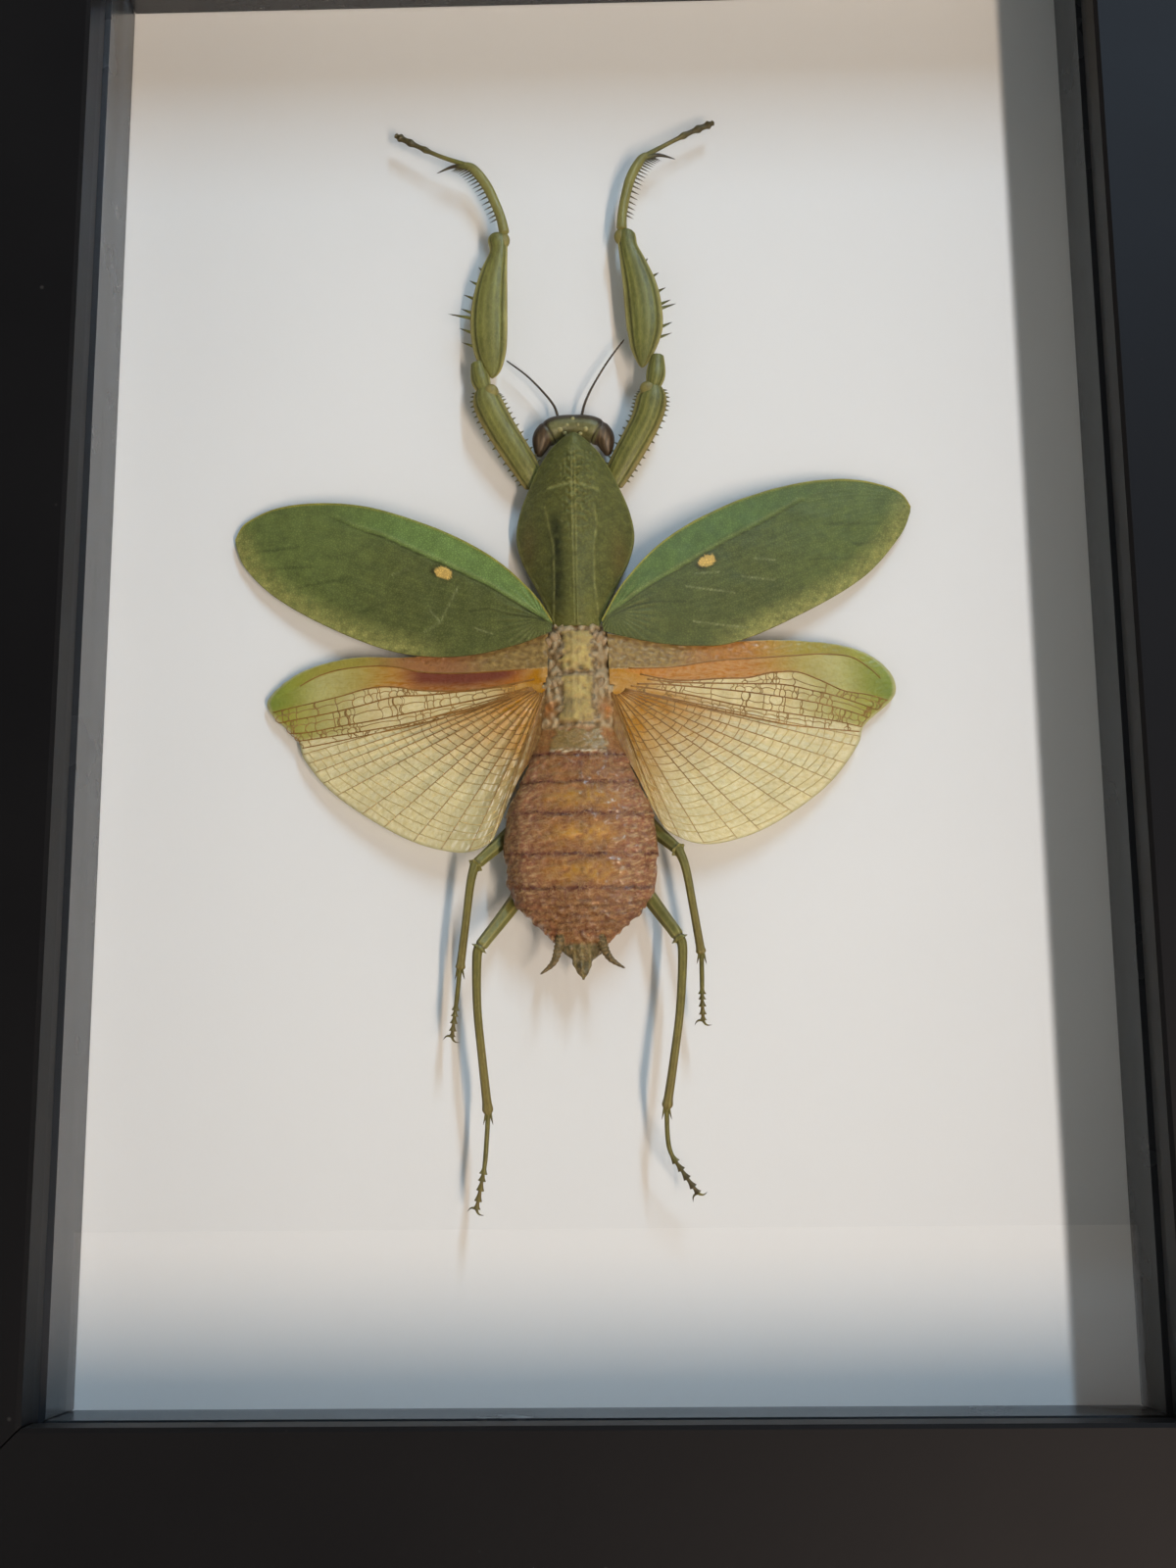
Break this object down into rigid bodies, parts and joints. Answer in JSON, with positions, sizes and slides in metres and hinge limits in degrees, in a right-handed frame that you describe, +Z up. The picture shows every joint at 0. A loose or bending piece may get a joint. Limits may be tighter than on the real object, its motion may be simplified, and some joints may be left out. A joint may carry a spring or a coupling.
{
  "type": "framed mantis specimen",
  "caption": "Dried green shield mantis with spread wings, mounted on a white board behind glass in a black shadow-box frame",
  "frame": {"origin": "centre of the frame's footprint, on the surface that its bottom rail stands on", "axes": "X to the right seen from the front, Z up, and the glass faces -Y"},
  "size_m": [0.21, 0.0384, 0.2845],
  "materials": {
    "rail": "satin black lacquered moulding",
    "spacer": "semi-gloss black strip",
    "glass": "clear picture glass",
    "board": "matt white mounting board",
    "backing": "plain brown hardboard",
    "steel": "plain zinc-plated steel",
    "head": "dried olive cuticle with dark brown eyes",
    "shield": "dried olive green cuticle, faintly waxy",
    "body": "wrinkled orange-brown cuticle, glossy in places",
    "forewing": "leathery green wing cover",
    "hindwing": "thin veined membrane, yellow with red and green",
    "leg": "dried olive green cuticle"
  },
  "bodies": {
    "root": {"rail_top": "rail", "rail_left": "rail", "rail_bottom": "rail", "rail_right": "rail", "spacer_top": "spacer", "spacer_left": "spacer", "spacer_bottom": "spacer", "spacer_right": "spacer", "glass_pane": "glass", "mounting_board": "board", "backing_panel": "backing", "backing_tab_left_upper": "steel", "backing_tab_left_lower": "steel", "backing_tab_right_upper": "steel", "backing_tab_right_lower": "steel", "backing_tab_top": "steel", "backing_tab_bottom": "steel", "hanger_plate": "steel", "hanger_screw_left": "steel", "hanger_screw_right": "steel", "mantis_head": "head", "mantis_shield": "shield", "mantis_body": "body", "forewing_left": "forewing", "forewing_right": "forewing", "hindwing_left": "hindwing", "hindwing_right": "hindwing", "foreleg_left": "leg", "foreleg_right": "leg", "midleg_left": "leg", "midleg_right": "leg", "hindleg_left": "leg", "hindleg_right": "leg"}
  },
  "joints": []
}
